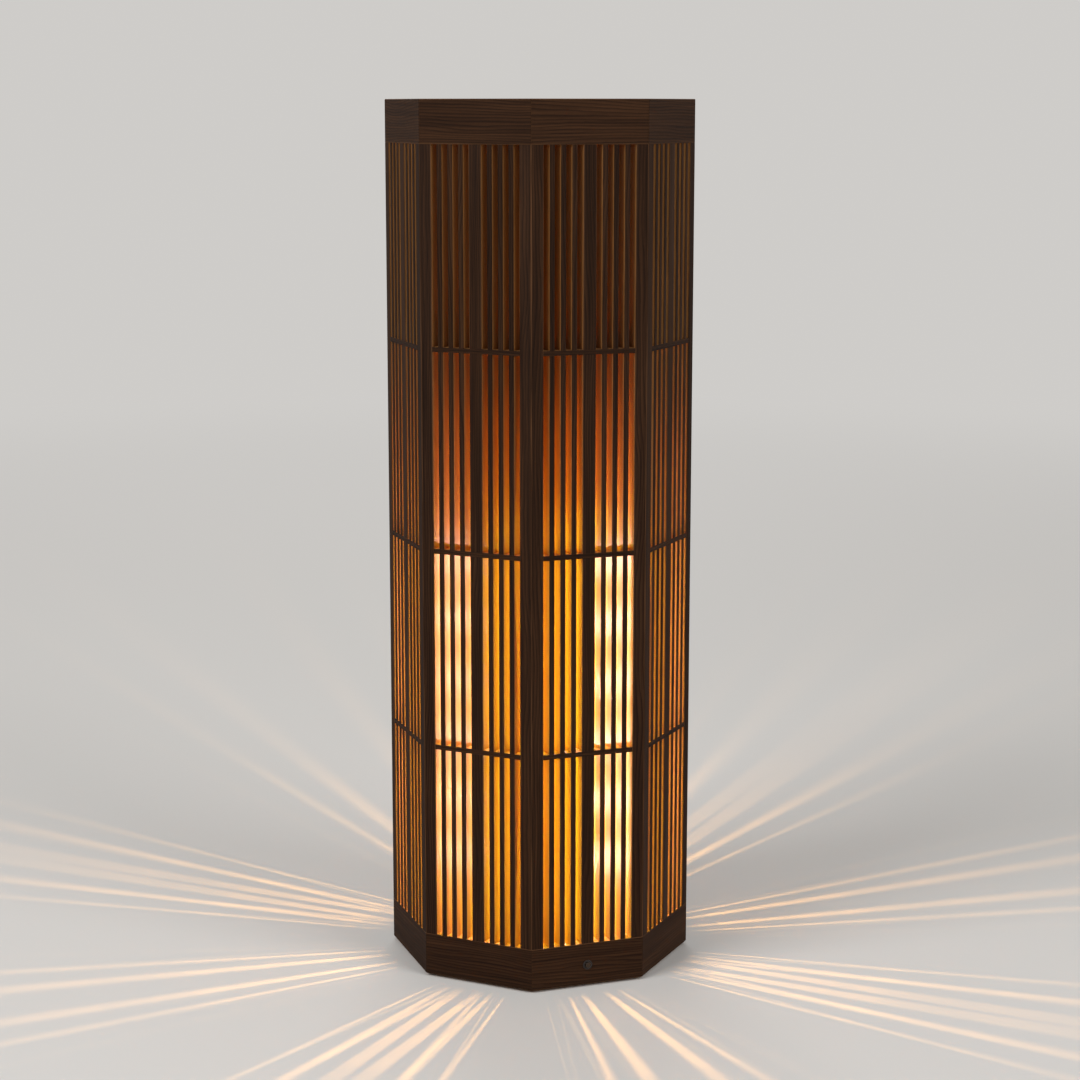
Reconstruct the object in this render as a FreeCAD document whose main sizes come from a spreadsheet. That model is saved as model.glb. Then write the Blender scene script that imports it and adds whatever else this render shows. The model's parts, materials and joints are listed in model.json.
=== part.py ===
"""Andon floor lamp: an eight-sided wooden cage of thin upright slats on a low plinth,
with a light post on its axis, a driver beside it and a push button in the plinth.

Millimetres, +Z up. The origin is on the floor, on the lamp's axis. Face 1 looks along -Y,
carries the button and is followed by the other faces anticlockwise, seen from above.
"""

import FreeCAD, Part
import math
import os
import re

import Sketcher

FACES = 8
CROSSBAR_RINGS = ("lower", "middle", "upper")
SLATS_PER_HALF = 3
LED_LEVELS = 6
STRIPS = 4
FEET = 4
SOCKET_SCREWS = 4
NUT_SIDES = 6

# Places nearer than this are the same place, in millimetres
SAME_PLACE = 1e-6

# Driving sizes, in millimetres
SIZES = {
    # The cage
    "across_flats": 296,
    "panel_depth": 24,
    "rail_height": 44,
    "row_height": 200,
    "bar_height": 5,
    "lap_depth": 12,
    "corner_stile_width": 12.8,
    "mid_stile_width": 13.6,
    "slat_width": 5.3,
    "corner_ease": 1,
    "rail_arris": 0.8,
    # The base
    "foot_thickness": 3,
    "foot_diameter": 15,
    "foot_inset": 16,
    "board_thickness": 12,
    "rebate_depth": 11,
    "board_gap": 0.3,
    # The wood screws
    "screw_shank_diameter": 3.5,
    "screw_shank_length": 15,
    "screw_head_diameter": 7,
    "screw_head_height": 2.4,
    "screw_hole_gap": 0.1,
    "counterbore_diameter": 8.4,
    "counterbore_depth": 5,
    "board_screw_offset": 32,
    # The light post
    "post_across_flats": 16,
    "post_bore": 10,
    "first_led_rise": 77,
    "led_pitch": 65.5,
    "led_end_margin": 20,
    "led_radius": 2.2,
    "strip_width": 6,
    "strip_thickness": 1.2,
    "flange_diameter": 70,
    "flange_thickness": 5,
    "boss_diameter": 28,
    "boss_height": 20,
    "flange_screw_circle": 54,
    "cap_diameter": 24,
    "cap_thickness": 4,
    "cap_plug_length": 8,
    "cap_plug_gap": 0.1,
    # The driver
    "driver_length": 100,
    "driver_width": 40,
    "driver_height": 26,
    "driver_offset": 70,
    "driver_edge_radius": 2,
    "lug_length": 11,
    "lug_thickness": 5,
    "lug_screw_offset": 10,
    # The inner leads and their clips
    "lead_diameter": 4,
    "lead_bend_radius": 13,
    "lead_wall_gap": 29,
    "lead_hole_gap": 0.2,
    "lead_end_reach": 2,
    "clip_length": 8,
    "clip_wall": 3,
    # The push button and its switch
    "button_rise": 21,
    "button_diameter": 6,
    "button_proud": 1.4,
    "button_travel": 1.2,
    "button_edge_radius": 0.4,
    "button_gap": 0.3,
    "button_end_gap": 0.4,
    "bezel_diameter": 10,
    "bezel_thickness": 1,
    "barrel_diameter": 8.4,
    "barrel_length": 14,
    "barrel_hole_gap": 0.1,
    "switch_web": 6,
    "switch_pocket_diameter": 17,
    "nut_across_flats": 13,
    "nut_thickness": 3,
    "switch_diameter": 14,
    "switch_length": 10,
    # The cord inlet
    "inlet_bore": 6.5,
    "inlet_diameter": 11,
    "inlet_hole_gap": 0.1,
    "inlet_flange_diameter": 17,
    "inlet_flange_thickness": 2.5,
    "inlet_inner_reach": 4,
    # How far every cut runs past the surface that it opens
    "cut_overrun": 1,
}

# Sizes that follow from the driving ones
DERIVED = {
    "half_turn": f"180 / {FACES}",
    "apothem_outer": "across_flats / 2",
    "apothem_inner": "apothem_outer - panel_depth",
    "face_half": "apothem_outer * tan(half_turn)",
    "corner_radius": "apothem_outer / cos(half_turn)",
    "bar_half": "face_half - corner_stile_width",
    "slit_count": f"{2 * SLATS_PER_HALF + 2}",
    "slit_width": f"(2 * bar_half - mid_stile_width - {2 * SLATS_PER_HALF} * slat_width) / slit_count",
    "slat_pitch": "slat_width + slit_width",
    "bar_pitch": "row_height + bar_height",
    "grille_low": "foot_thickness + rail_height",
    "grille_height": f"row_height + {len(CROSSBAR_RINGS)} * bar_pitch",
    "grille_high": "grille_low + grille_height",
    "board_top": "foot_thickness + board_thickness",
    "board_apothem": "apothem_inner + rebate_depth - board_gap",
    "works_level": "foot_thickness + button_rise",
    "strip_low": "board_top + first_led_rise - led_end_margin",
    "strip_length": f"{LED_LEVELS - 1} * led_pitch + 2 * led_end_margin",
    "post_length": "strip_low + strip_length - board_top",
    "screw_hole_diameter": "screw_shank_diameter + 2 * screw_hole_gap",
    "board_screw_radius": "apothem_inner + rebate_depth / 2",
    "lug_screw_place": "driver_length / 2 + lug_length / 2",
    "lead_hole_diameter": "lead_diameter + 2 * lead_hole_gap",
    "lead_cross_run": "apothem_inner - lead_wall_gap",
    "barrel_end": "apothem_outer - barrel_length",
}

doc = FreeCAD.newDocument("andon_floor_lamp")
sheet = doc.addObject("Spreadsheet::Sheet", "Sizes")


def bound(text):
    """The same sum with each size name pointed at its cell in the sheet."""
    return re.sub(r"[a-z]+(?:_[a-z]+)+", r"Sizes.\g<0>", text)


def fill_sheet():
    """Writes one row for each size: its name, then its value under that alias."""
    rows = {name: str(size) for name, size in SIZES.items()}
    rows.update({name: "=" + text for name, text in DERIVED.items()})
    for row, (name, content) in enumerate(rows.items(), start=1):
        sheet.set(f"A{row}", name)
        sheet.set(f"B{row}", content)
        sheet.setAlias(f"B{row}", name)
    doc.recompute()


def value(text):
    """What a sum of sizes comes to."""
    return float(sheet.evalExpression(bound(text)))


def new_body(label, turn=0.0):
    """An empty body of that label, turned about the lamp's axis."""
    body = doc.addObject("PartDesign::Body", label)
    body.Label = label
    body.Placement = FreeCAD.Placement(
        FreeCAD.Vector(0, 0, 0), FreeCAD.Rotation(FreeCAD.Vector(0, 0, 1), turn)
    )
    return body


def origin_part(body, role):
    """The plane or axis of the body's own origin that has this role."""
    return next(item for item in body.Origin.OriginFeatures if item.Role == role)


def new_sketch(body, plane, level="0"):
    """A sketch on one of the body's own planes, moved along that plane's normal."""
    sketch = body.newObject("Sketcher::SketchObject", body.Label + "_sketch")
    sketch.AttachmentSupport = [(origin_part(body, plane), "")]
    sketch.MapMode = "FlatFace"
    sketch.setExpression("AttachmentOffset.Base.z", bound(level))
    return sketch


def tie(sketch, kind, geometry, point, text):
    """Ties one coordinate of a point, measured from the sketch's origin, to a sum of sizes."""
    rule = Sketcher.Constraint(kind, -1, 1, geometry, point, value(text))
    sketch.setExpression(f"Constraints[{sketch.addConstraint(rule)}]", bound(text))


def outline(sketch, corners):
    """Adds a closed outline of straight lines, each corner given by its two sums."""
    first = sketch.GeometryCount
    points = [FreeCAD.Vector(value(x), value(y), 0) for x, y in corners]
    for point, following in zip(points, points[1:] + points[:1]):
        sketch.addGeometry(Part.LineSegment(point, following), False)
    for place, (x, y) in enumerate(corners):
        line = first + place
        following = first + (place + 1) % len(corners)
        sketch.addConstraint(Sketcher.Constraint("Coincident", line, 2, following, 1))
        tie(sketch, "DistanceX", line, 1, x)
        tie(sketch, "DistanceY", line, 1, y)


def box_outline(sketch, low_x, high_x, low_y, high_y):
    outline(sketch, [(low_x, low_y), (high_x, low_y), (high_x, high_y), (low_x, high_y)])


def circle(sketch, x, y, diameter):
    """Adds a circle whose centre and diameter are sums of sizes."""
    centre = FreeCAD.Vector(value(x), value(y), 0)
    up = FreeCAD.Vector(0, 0, 1)
    ring = sketch.addGeometry(Part.Circle(centre, up, value(diameter) / 2), False)
    tie(sketch, "DistanceX", ring, 3, x)
    tie(sketch, "DistanceY", ring, 3, y)
    rule = sketch.addConstraint(Sketcher.Constraint("Diameter", ring, value(diameter)))
    sketch.setExpression(f"Constraints[{rule}]", bound(diameter))


def octagon(apothem):
    """The corners of an octagon whose sides face the cage's faces."""
    corners = []
    for corner in range(FACES):
        radius = f"({apothem}) / cos(half_turn)"
        angle = f"{2 * corner + 1} * half_turn"
        corners.append((f"{radius} * cos({angle})", f"{radius} * sin({angle})"))
    return corners


def pad(body, sketch, length, reverse=False):
    """Adds the sketch's outlines as solids, along the plane's normal unless reversed."""
    feature = body.newObject("PartDesign::Pad", body.Label + "_pad")
    feature.Profile = sketch
    feature.Reversed = reverse
    feature.setExpression("Length", bound(length))
    sketch.Visibility = False
    return feature


def pocket(body, sketch, length, reverse=False):
    """Cuts the sketch's outlines out, against the plane's normal unless reversed."""
    feature = body.newObject("PartDesign::Pocket", body.Label + "_pocket")
    feature.Profile = sketch
    feature.Reversed = reverse
    feature.setExpression("Length", bound(length))
    sketch.Visibility = False
    return feature


def all_round(body, feature, count=FACES):
    """Repeats a feature evenly about the lamp's axis."""
    pattern = body.newObject("PartDesign::PolarPattern", body.Label + "_pattern")
    pattern.Originals = [feature]
    pattern.Axis = (origin_part(body, "Z_Axis"), [""])
    pattern.Angle = 360
    pattern.Occurrences = count
    body.Tip = pattern
    return pattern


def dress(body, kind, size_property, size, feature, chosen):
    """A chamfer or fillet on the edges of a feature that the given test chooses."""
    doc.recompute()
    edges = feature.Shape.Edges
    names = [f"Edge{number}" for number, edge in enumerate(edges, start=1) if chosen(edge)]
    dressed = body.newObject(kind, body.Label + "_edges")
    dressed.Base = (feature, names)
    dressed.setExpression(size_property, bound(size))
    body.Tip = dressed
    return dressed


def face_turn(face):
    """How far a face is turned from face 1, in degrees."""
    return (face - 1) * 360 / FACES


# The rails: a mitred ring of eight below the slats and one above them


def rail_plan():
    """Half of a rail's plan and its mirror image: a long outer face, eased at its corners,
    and two mitred ends."""
    right = [
        ("face_half - corner_ease", "-apothem_outer"),
        (
            "(corner_radius - corner_ease * sin(half_turn)) * sin(half_turn)",
            "-(corner_radius - corner_ease * sin(half_turn)) * cos(half_turn)",
        ),
        ("apothem_inner * tan(half_turn)", "-apothem_inner"),
    ]
    left = [(f"-({x})", y) for x, y in reversed(right)]
    return right + left


def lies_level(edge, level):
    """Whether a whole edge lies at this height."""
    box = edge.BoundBox
    height = value(level)
    return abs(box.ZMin - height) < SAME_PLACE and abs(box.ZMax - height) < SAME_PLACE


def lies_upright(edge, plane):
    """Whether a whole edge lies in the upright plane across Y at this place."""
    box = edge.BoundBox
    place = value(plane)
    return abs(box.YMin - place) < SAME_PLACE and abs(box.YMax - place) < SAME_PLACE


def is_outer(edge):
    """Whether an edge lies in the plane of face 1."""
    return lies_upright(edge, "-apothem_outer")


def is_inner(edge):
    """Whether an edge lies in the plane of face 1's inner side."""
    return lies_upright(edge, "-apothem_inner")


def make_top_rail(face):
    body = new_body(f"top_rail_{face}", face_turn(face))
    sketch = new_sketch(body, "XY_Plane", "grille_high")
    outline(sketch, rail_plan())
    rail = pad(body, sketch, "rail_height")
    rim = "grille_high + rail_height"
    dress(
        body, "PartDesign::Chamfer", "Size", "rail_arris", rail,
        lambda edge: lies_level(edge, rim) and (is_outer(edge) or is_inner(edge)),
    )
    return body


def make_bottom_rail(face):
    """A plinth rail: rebated for the base board, with pilot holes for two of its screws."""
    body = new_body(f"bottom_rail_{face}", face_turn(face))
    sketch = new_sketch(body, "XY_Plane", "foot_thickness")
    outline(sketch, rail_plan())
    rail = pad(body, sketch, "rail_height")
    dress(
        body, "PartDesign::Chamfer", "Size", "rail_arris", rail,
        lambda edge: lies_level(edge, "foot_thickness") and is_outer(edge),
    )
    rebate = new_sketch(body, "XY_Plane", "foot_thickness")
    box_outline(
        rebate, "-face_half", "face_half",
        "-(apothem_inner + rebate_depth)", "-(apothem_inner - cut_overrun)",
    )
    pocket(body, rebate, "board_thickness", reverse=True)
    pilot = new_sketch(body, "XY_Plane", "board_top")
    for side in ("-", ""):
        circle(pilot, side + "board_screw_offset", "-board_screw_radius", "screw_hole_diameter")
    engaged = "screw_shank_length + counterbore_depth - board_thickness + cut_overrun"
    pocket(body, pilot, engaged, reverse=True)
    return body


def bore_rail(body, diameter, depth, level):
    """Cuts a round hole inwards through face 1 of a rail, from a plane at that distance."""
    sketch = new_sketch(body, "XZ_Plane", level)
    circle(sketch, "0", "works_level", diameter)
    pocket(body, sketch, depth)


def make_bottom_rails():
    rails = [make_bottom_rail(face) for face in range(1, FACES + 1)]
    front, rear = rails[0], rails[FACES // 2]
    bore_rail(
        front, "barrel_diameter + 2 * barrel_hole_gap",
        "panel_depth + 2 * cut_overrun", "apothem_outer + cut_overrun",
    )
    bore_rail(
        front, "switch_pocket_diameter",
        "panel_depth - switch_web + cut_overrun", "apothem_outer - switch_web",
    )
    bore_rail(
        rear, "inlet_diameter + 2 * inlet_hole_gap",
        "panel_depth + 2 * cut_overrun", "apothem_outer + cut_overrun",
    )
    return rails


# The uprights and the bars of the grille, half-lapped where they cross


def make_corner_post(corner):
    """A post that turns the corner after the face of the same number."""
    body = new_body(f"corner_post_{corner}", face_turn(corner) + 180 / FACES)
    sketch = new_sketch(body, "XY_Plane", "grille_low")
    right = [
        ("corner_ease * cos(half_turn)", "corner_ease * sin(half_turn) - corner_radius"),
        (
            "corner_stile_width * cos(half_turn)",
            "corner_stile_width * sin(half_turn) - corner_radius",
        ),
        (
            "corner_stile_width * cos(half_turn) - panel_depth * sin(half_turn)",
            "corner_stile_width * sin(half_turn) + panel_depth * cos(half_turn) - corner_radius",
        ),
        ("0", "panel_depth / cos(half_turn) - corner_radius"),
    ]
    left = [(f"-({x})", y) for x, y in reversed(right[:-1])]
    outline(sketch, right + left)
    pad(body, sketch, "grille_height")
    return body


def bar_level(ring):
    """The height of the underside of a ring of crossbars, counted from the lowest."""
    return f"grille_low + row_height + {ring} * bar_pitch"


def slat_spans():
    """The left and right side of every slat on a face, from left to right."""
    right = []
    for slat in range(SLATS_PER_HALF):
        start = f"mid_stile_width / 2 + slit_width + {slat} * slat_pitch"
        right.append((start, start + " + slat_width"))
    left = [(f"-({high})", f"-({low})") for low, high in reversed(right)]
    return left + right


MID_STILE_SPAN = ("-mid_stile_width / 2", "mid_stile_width / 2")


def make_uprights(label, face, spans):
    """Full-height uprights between the rails, notched in front for every crossbar."""
    body = new_body(label, face_turn(face))
    sketch = new_sketch(body, "XZ_Plane", "apothem_outer")
    for low, high in spans:
        box_outline(sketch, low, high, "grille_low", "grille_high")
    pad(body, sketch, "panel_depth", reverse=True)
    notches = new_sketch(body, "XZ_Plane", "apothem_outer")
    for ring in range(len(CROSSBAR_RINGS)):
        level = bar_level(ring)
        box_outline(notches, "-bar_half", "bar_half", level, level + " + bar_height")
    pocket(body, notches, "lap_depth")
    return body


def make_crossbars(ring, name):
    """One bar on every face at one height, notched behind for every upright."""
    body = new_body(f"{name}_crossbars")
    sketch = new_sketch(body, "XY_Plane", bar_level(ring))
    halves = slat_spans()
    spans = halves[:SLATS_PER_HALF] + [MID_STILE_SPAN] + halves[SLATS_PER_HALF:]
    back = "-apothem_inner"
    notch = "-(apothem_outer - lap_depth)"
    corners = [("-bar_half", "-apothem_outer"), ("bar_half", "-apothem_outer"), ("bar_half", back)]
    for low, high in reversed(spans):
        corners += [(high, back), (high, notch), (low, notch), (low, back)]
    corners.append(("-bar_half", back))
    outline(sketch, corners)
    all_round(body, pad(body, sketch, "bar_height"))
    return body


# The base: its board, the feet and every wood screw


def flange_screw_places():
    """Where the screws in the light's flange stand, evenly on their circle."""
    places = []
    for number in range(SOCKET_SCREWS):
        angle = f"{2 * number + 1} * {FACES // SOCKET_SCREWS} * half_turn"
        radius = "flange_screw_circle / 2"
        places.append((f"{radius} * cos({angle})", f"{radius} * sin({angle})"))
    return places


def lug_screw_places():
    """Where the screws in the driver's lugs stand, one at each end."""
    return [
        ("-driver_offset + lug_screw_offset", "lug_screw_place"),
        ("-driver_offset - lug_screw_offset", "-lug_screw_place"),
    ]


def rail_screw_places():
    """Where the screws from below stand: two under each rail, either side of its middle."""
    places = []
    for face in range(FACES):
        turn = f"({2 * face} * half_turn)"
        for side in ("-", "+"):
            x = f"{side}board_screw_offset * cos{turn} + board_screw_radius * sin{turn}"
            y = f"{side}board_screw_offset * sin{turn} - board_screw_radius * cos{turn}"
            places.append((x, y))
    return places


def circles(body, level, places, diameter):
    """A sketch of equal circles at that height."""
    sketch = new_sketch(body, "XY_Plane", level)
    for x, y in places:
        circle(sketch, x, y, diameter)
    return sketch


def make_base_board():
    body = new_body("base_board")
    sketch = new_sketch(body, "XY_Plane", "foot_thickness")
    outline(sketch, octagon("board_apothem"))
    pad(body, sketch, "board_thickness")
    through = circles(body, "foot_thickness", rail_screw_places(), "screw_hole_diameter")
    pocket(body, through, "board_thickness + cut_overrun", reverse=True)
    sunk = circles(body, "foot_thickness", rail_screw_places(), "counterbore_diameter")
    pocket(body, sunk, "counterbore_depth", reverse=True)
    for places, held in (
        (flange_screw_places(), "flange_thickness"),
        (lug_screw_places(), "lug_thickness"),
    ):
        pilot = circles(body, "board_top", places, "screw_hole_diameter")
        pocket(body, pilot, f"screw_shank_length - {held} + board_gap")
    return body


def make_feet():
    """Flat pads under every other corner of the plinth."""
    body = new_body("rubber_feet")
    radius = "(corner_radius - foot_inset)"
    angle = "half_turn"
    place = (f"{radius} * cos({angle})", f"{radius} * sin({angle})")
    sketch = circles(body, "0", [place], "foot_diameter")
    all_round(body, pad(body, sketch, "foot_thickness"), FEET)
    return body


def make_wood_screws():
    """Equal pan-head screws: some drive down into the board, the others up into the rails."""
    body = new_body("wood_screws")
    for places, seat, upward in (
        (flange_screw_places(), "board_top + flange_thickness", False),
        (lug_screw_places(), "board_top + lug_thickness", False),
        (rail_screw_places(), "foot_thickness + counterbore_depth", True),
    ):
        head = circles(body, seat, places, "screw_head_diameter")
        pad(body, head, "screw_head_height", reverse=upward)
        shank = circles(body, seat, places, "screw_shank_diameter")
        pad(body, shank, "screw_shank_length", reverse=not upward)
    return body


# The light: a post in a socket, with a strip of lights on every second side


def make_light_post():
    body = new_body("light_post")
    sketch = new_sketch(body, "XY_Plane", "board_top")
    outline(sketch, octagon("post_across_flats / 2"))
    circle(sketch, "0", "0", "post_bore")
    pad(body, sketch, "post_length")
    hole = new_sketch(body, "YZ_Plane", "0")
    circle(hole, "0", "works_level", "lead_hole_diameter")
    pocket(body, hole, "post_across_flats")
    return body


def make_post_socket():
    """A flange with a boss round the foot of the post."""
    body = new_body("post_socket")
    flange = circles(body, "board_top", [("0", "0")], "flange_diameter")
    pad(body, flange, "flange_thickness")
    boss = circles(body, "board_top", [("0", "0")], "boss_diameter")
    pad(body, boss, "flange_thickness + boss_height")
    seat = new_sketch(body, "XY_Plane", "board_top")
    outline(seat, octagon("post_across_flats / 2"))
    pocket(body, seat, "flange_thickness + boss_height + cut_overrun", reverse=True)
    holes = circles(body, "board_top", flange_screw_places(), "screw_hole_diameter")
    pocket(body, holes, "flange_thickness + cut_overrun", reverse=True)
    hole = new_sketch(body, "YZ_Plane", "0")
    circle(hole, "0", "works_level", "lead_hole_diameter")
    pocket(body, hole, "boss_diameter")
    return body


def make_post_cap():
    body = new_body("post_cap")
    top = "board_top + post_length"
    disc = circles(body, top, [("0", "0")], "cap_diameter")
    pad(body, disc, "cap_thickness")
    plug = circles(body, top, [("0", "0")], "post_bore - 2 * cap_plug_gap")
    pad(body, plug, "cap_plug_length", reverse=True)
    return body


def make_led_boards():
    body = new_body("led_boards")
    sketch = new_sketch(body, "XZ_Plane", "post_across_flats / 2")
    box_outline(
        sketch, "-strip_width / 2", "strip_width / 2", "strip_low", "strip_low + strip_length"
    )
    all_round(body, pad(body, sketch, "strip_thickness"), STRIPS)
    return body


def make_led_lenses():
    """Half-round lenses at each level of each strip, as one group of equal solids."""
    lenses = []
    reach = value("post_across_flats / 2 + strip_thickness")
    for strip in range(STRIPS):
        turn = FreeCAD.Rotation(FreeCAD.Vector(0, 0, 1), strip * 360 / STRIPS)
        outwards = turn.multVec(FreeCAD.Vector(0, -reach, 0))
        tip = FreeCAD.Rotation(FreeCAD.Vector(0, 0, 1), FreeCAD.Vector(0, -1, 0))
        for level in range(LED_LEVELS):
            lens = doc.addObject("Part::Sphere", f"lens_{strip + 1}_{level + 1}")
            lens.setExpression("Radius", bound("led_radius"))
            lens.Angle1 = 0
            rise = value(f"strip_low + led_end_margin + {level} * led_pitch")
            lens.Placement = FreeCAD.Placement(
                FreeCAD.Vector(outwards.x, outwards.y, rise), turn.multiply(tip)
            )
            lenses.append(lens)
    group = doc.addObject("Part::Compound", "led_lenses")
    group.Label = "led_lenses"
    group.Links = lenses
    return group


# The driver and the inner leads


def make_driver_case():
    """A rounded case along Y, left of the post, with a screw lug at each end."""
    body = new_body("driver_case")
    sketch = new_sketch(body, "XY_Plane", "board_top")
    low_x = "-driver_offset - driver_width / 2"
    high_x = "-driver_offset + driver_width / 2"
    box_outline(sketch, low_x, high_x, "-driver_length / 2", "driver_length / 2")
    case = pad(body, sketch, "driver_height")
    dress(
        body, "PartDesign::Fillet", "Radius", "driver_edge_radius", case,
        lambda edge: not lies_level(edge, "board_top"),
    )
    lugs = new_sketch(body, "XY_Plane", "board_top")
    reach = "driver_length / 2 + lug_length"
    box_outline(lugs, low_x, high_x, f"-({reach})", reach)
    pad(body, lugs, "lug_thickness")
    holes = circles(body, "board_top", lug_screw_places(), "screw_hole_diameter")
    pocket(body, holes, "lug_thickness + cut_overrun", reverse=True)
    return body


def bend(before, corner, after, radius):
    """The arc of that radius that rounds a corner, with the two points where it joins."""
    back = (before - corner).normalize()
    onward = (after - corner).normalize()
    half = back.getAngle(onward) / 2
    reach = radius / math.tan(half)
    bisector = (back + onward).normalize()
    middle = corner + bisector * (radius / math.sin(half) - radius)
    start = corner + back * reach
    end = corner + onward * reach
    return Part.Arc(start, middle, end).toShape(), start, end


def lead(points):
    """A round lead along straight runs that tangent arcs join."""
    radius = value("lead_bend_radius")
    edges = []
    last = points[0]
    for place in range(1, len(points) - 1):
        arc, start, end = bend(points[place - 1], points[place], points[place + 1], radius)
        edges += [Part.LineSegment(last, start).toShape(), arc]
        last = end
    edges.append(Part.LineSegment(last, points[-1]).toShape())
    heading = points[1] - points[0]
    section = Part.Wire(Part.Circle(points[0], heading, value("lead_diameter") / 2).toShape())
    return Part.Wire(edges).makePipeShell([section], True, False)


def at_works_level(x, y):
    return FreeCAD.Vector(value(x), value(y), value("works_level"))


def make_inner_leads():
    """One lead from the switch to the driver and one from the driver into the post."""
    driver_x = "-driver_offset"
    switch_lead = lead(
        [
            at_works_level("0", "-(barrel_end - switch_length)"),
            at_works_level("0", "-lead_cross_run"),
            at_works_level(driver_x, "-lead_cross_run"),
            at_works_level(driver_x, "-driver_length / 2"),
        ]
    )
    light_lead = lead(
        [
            at_works_level("driver_width / 2 - driver_offset", "0"),
            at_works_level("-(post_bore / 2 - lead_end_reach)", "0"),
        ]
    )
    group = doc.addObject("Part::Feature", "inner_leads")
    group.Label = "inner_leads"
    group.Shape = Part.makeCompound([switch_lead, light_lead])
    group.Placement = FreeCAD.Placement()
    return group


def make_lead_clip():
    """A saddle on the base board that holds the switch's lead halfway along its cross run."""
    body = new_body("lead_clip")
    middle = "-driver_offset / 2"
    sketch = new_sketch(body, "YZ_Plane", f"{middle} - clip_length / 2")
    half = "(lead_diameter / 2 + clip_wall)"
    box_outline(
        sketch, f"-lead_cross_run - {half}", f"-lead_cross_run + {half}",
        "board_top", f"works_level + {half}",
    )
    circle(sketch, "-lead_cross_run", "works_level", "lead_hole_diameter")
    pad(body, sketch, "clip_length")
    return body


# The push button in face 1 and the cord inlet in the face opposite


def round_piece(body, diameter, front, length, hole=None):
    """A round pad or tube that runs inwards through face 1 from that distance."""
    sketch = new_sketch(body, "XZ_Plane", front)
    circle(sketch, "0", "works_level", diameter)
    if hole:
        circle(sketch, "0", "works_level", hole)
    return pad(body, sketch, length, reverse=True)


def make_push_button():
    """The cap and stem in one, which stop short of the switch by more than the travel."""
    body = new_body("push_button")
    front = "apothem_outer + bezel_thickness + button_proud"
    length = f"{front} - barrel_end - button_travel - button_end_gap"
    button = round_piece(body, "button_diameter", front, length)
    dress(
        body, "PartDesign::Fillet", "Radius", "button_edge_radius", button,
        lambda edge: lies_upright(edge, f"-({front})"),
    )
    return body


def make_button_bezel():
    body = new_body("button_bezel")
    bore = "button_diameter + 2 * button_gap"
    front = "apothem_outer + bezel_thickness"
    round_piece(body, "bezel_diameter", front, "bezel_thickness", bore)
    round_piece(body, "barrel_diameter", front, "bezel_thickness + barrel_length", bore)
    return body


def make_switch_nut():
    """A six-sided nut that draws the bezel against the rail from behind."""
    body = new_body("switch_nut")
    sketch = new_sketch(body, "XZ_Plane", "apothem_outer - switch_web")
    radius = f"nut_across_flats / 2 / cos(180 / {NUT_SIDES})"
    corners = []
    for corner in range(NUT_SIDES):
        angle = f"360 * {corner} / {NUT_SIDES}"
        corners.append((f"{radius} * cos({angle})", f"works_level + {radius} * sin({angle})"))
    outline(sketch, corners)
    circle(sketch, "0", "works_level", "barrel_diameter")
    pad(body, sketch, "nut_thickness", reverse=True)
    return body


def make_switch_body():
    body = new_body("switch_body")
    round_piece(body, "switch_diameter", "barrel_end", "switch_length")
    return body


def make_cord_inlet():
    """A flanged sleeve through the rear rail; the cord's way in stays open."""
    body = new_body("cord_inlet", face_turn(FACES // 2 + 1))
    front = "apothem_outer + inlet_flange_thickness"
    round_piece(
        body, "inlet_flange_diameter", front, "inlet_flange_thickness", "inlet_bore"
    )
    length = "inlet_flange_thickness + panel_depth + inlet_inner_reach"
    round_piece(body, "inlet_diameter", front, length, "inlet_bore")
    return body


def make_lamp():
    """Every sub-part of the lamp, in no particular order."""
    faces = range(1, FACES + 1)
    pieces = make_bottom_rails()
    pieces += [make_top_rail(face) for face in faces]
    pieces += [make_corner_post(face) for face in faces]
    pieces += [make_uprights(f"mid_stile_{face}", face, [MID_STILE_SPAN]) for face in faces]
    pieces += [make_uprights(f"slats_{face}", face, slat_spans()) for face in faces]
    pieces += [make_crossbars(ring, name) for ring, name in enumerate(CROSSBAR_RINGS)]
    pieces += [make_base_board(), make_feet(), make_wood_screws()]
    pieces += [make_light_post(), make_post_socket(), make_post_cap()]
    pieces += [make_led_boards(), make_led_lenses()]
    pieces += [make_driver_case(), make_inner_leads(), make_lead_clip()]
    pieces += [make_push_button(), make_button_bezel(), make_switch_nut(), make_switch_body()]
    pieces += [make_cord_inlet()]
    return pieces


def check(pieces):
    """Stops if any object failed or any sub-part is empty or not valid."""
    for item in doc.Objects:
        if "Invalid" in item.State or "Error" in item.State:
            raise RuntimeError(f"{item.Label} failed: {item.State}")
    for piece in pieces:
        if piece.Shape.isNull() or not piece.Shape.isValid() or not piece.Shape.Solids:
            raise RuntimeError(f"{piece.Label} has no valid shape")


fill_sheet()
lamp = make_lamp()
doc.recompute()
check(lamp)
os.makedirs("parts", exist_ok=True)
for piece in lamp:
    piece.Shape.exportStep(f"parts/{piece.Label}.step")
    solids = piece.Shape.Solids
    print(piece.Label, len(solids), "solids", round(piece.Shape.Volume), "mm3")
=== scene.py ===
"""Looks of the andon floor lamp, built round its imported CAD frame.

Metres, +Z up. The origin is on the floor, on the lamp's axis. Face 1 looks along -Y and carries
the push button; the other faces follow anticlockwise, seen from above.
"""

import json
import math

import bmesh
import bpy
from mathutils import Matrix, Vector

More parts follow.
